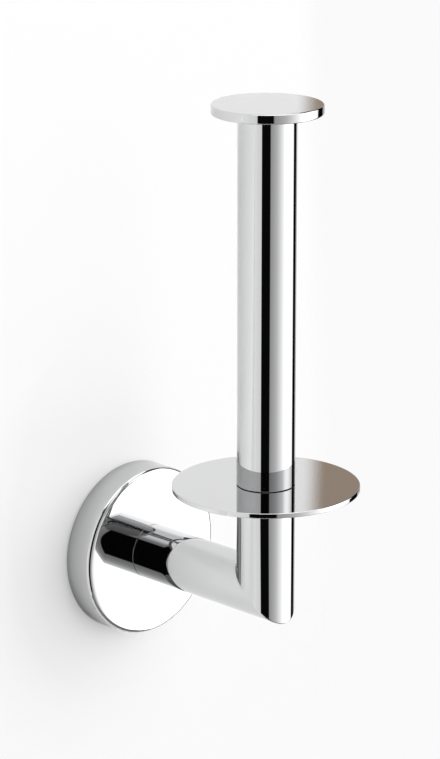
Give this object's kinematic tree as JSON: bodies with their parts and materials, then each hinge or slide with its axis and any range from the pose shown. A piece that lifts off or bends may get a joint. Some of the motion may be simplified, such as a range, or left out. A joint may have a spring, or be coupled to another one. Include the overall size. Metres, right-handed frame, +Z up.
{
  "type": "toilet roll holder",
  "caption": "Wall-mounted upright holder for a spare toilet roll: round rosette, mitred tube elbow, round rest disc and tall tube post with a flat cap, all polished chrome.",
  "frame": {"origin": "centre of the wall plate's back face, on the wall's surface and on the arm's axis", "axes": "+Y into the wall, so the arm runs along -Y; +Z up along the post; +X to the right of someone who faces the wall"},
  "size_m": [0.058, 0.1205, 0.1805],
  "materials": {
    "polished_chrome": "mirror-polished chrome plate",
    "cast_zinc": "as-cast zinc alloy, matt",
    "plated_steel": "bright zinc-plated steel",
    "turned_brass": "turned, unpolished",
    "grey_plastic": "moulded nylon, matt"
  },
  "bodies": {
    "wall_side": {"wall_plate": "cast_zinc", "wall_screw_left": "plated_steel", "wall_screw_right": "plated_steel", "wall_plug_left": "grey_plastic", "wall_plug_right": "grey_plastic"},
    "holder": {"rosette": "polished_chrome", "elbow_arm": "polished_chrome", "arm_insert": "turned_brass", "arm_bolt": "plated_steel", "arm_bolt_washer": "plated_steel", "locating_pin": "plated_steel", "elbow_insert": "turned_brass", "disc_washer": "plated_steel", "base_disc": "polished_chrome", "post_stud": "plated_steel", "post_washer": "plated_steel", "post_insert_lower": "turned_brass", "post_tube": "polished_chrome", "post_insert_upper": "turned_brass", "cap_stud": "plated_steel", "top_cap": "polished_chrome"},
    "grub_screw": {"rosette_grub_screw": "plated_steel"}
  },
  "joints": [
    {"name": "holder_pull_off", "type": "slide", "parent": "wall_side", "child": "holder", "axis": [0, -1, 0], "range_m": [0, 0.02]},
    {"name": "grub_screw_travel", "type": "slide", "parent": "holder", "child": "grub_screw", "axis": [0, 0, -1], "range_m": [0, 0.004]}
  ]
}
